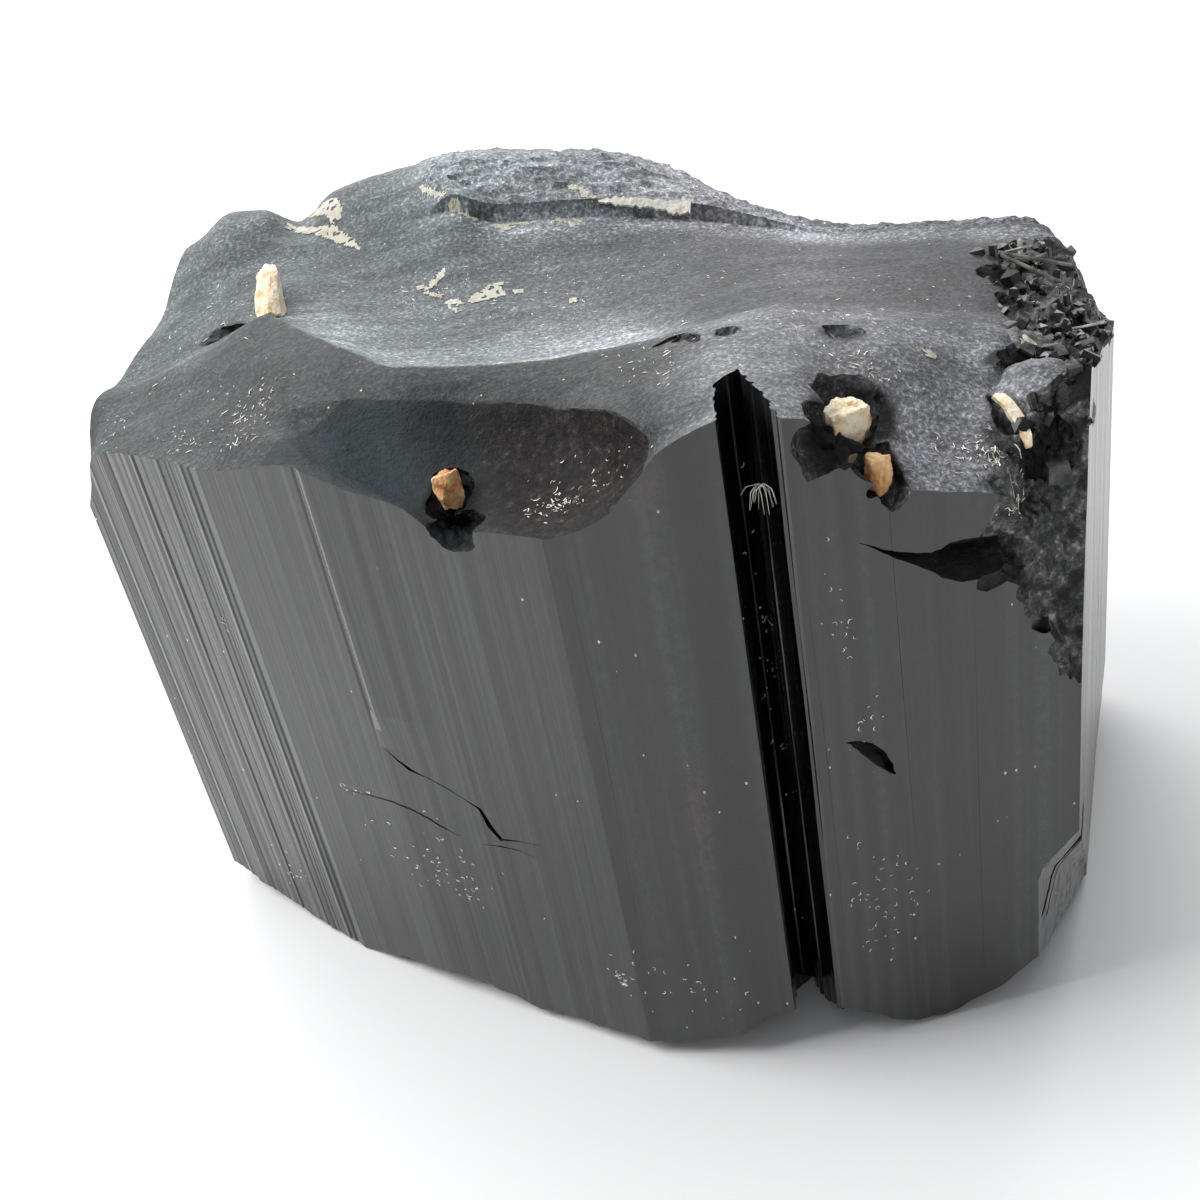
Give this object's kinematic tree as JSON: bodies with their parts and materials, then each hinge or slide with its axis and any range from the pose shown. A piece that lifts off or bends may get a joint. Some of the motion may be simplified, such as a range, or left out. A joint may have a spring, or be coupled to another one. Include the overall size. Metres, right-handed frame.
{
  "type": "tourmaline crystal",
  "caption": "Thick black tourmaline prism broken across at both ends, with a deep groove, a striated face, small crystals on one corner and feldspar grains in its pits.",
  "frame": {"origin": "on the resting plane, under the middle of the crystal's box", "axes": "+Z along the crystal's long axis, up from the broken base it rests on; +X to the right across the wide broken front; -Y towards the viewer"},
  "size_m": [0.0786, 0.0582, 0.0522],
  "materials": {
    "schorl": "glossy black crystal faces, matte grey-black breaks",
    "feldspar_orange": "rough, dull to waxy",
    "feldspar_cream": "rough, dull to waxy"
  },
  "bodies": {
    "root": {"tourmaline_crystal": "schorl", "feldspar_grain_front": "feldspar_orange", "feldspar_grain_right": "feldspar_cream", "feldspar_chip_orange": "feldspar_orange", "feldspar_grain_left": "feldspar_cream", "feldspar_blade": "feldspar_cream"}
  },
  "joints": []
}
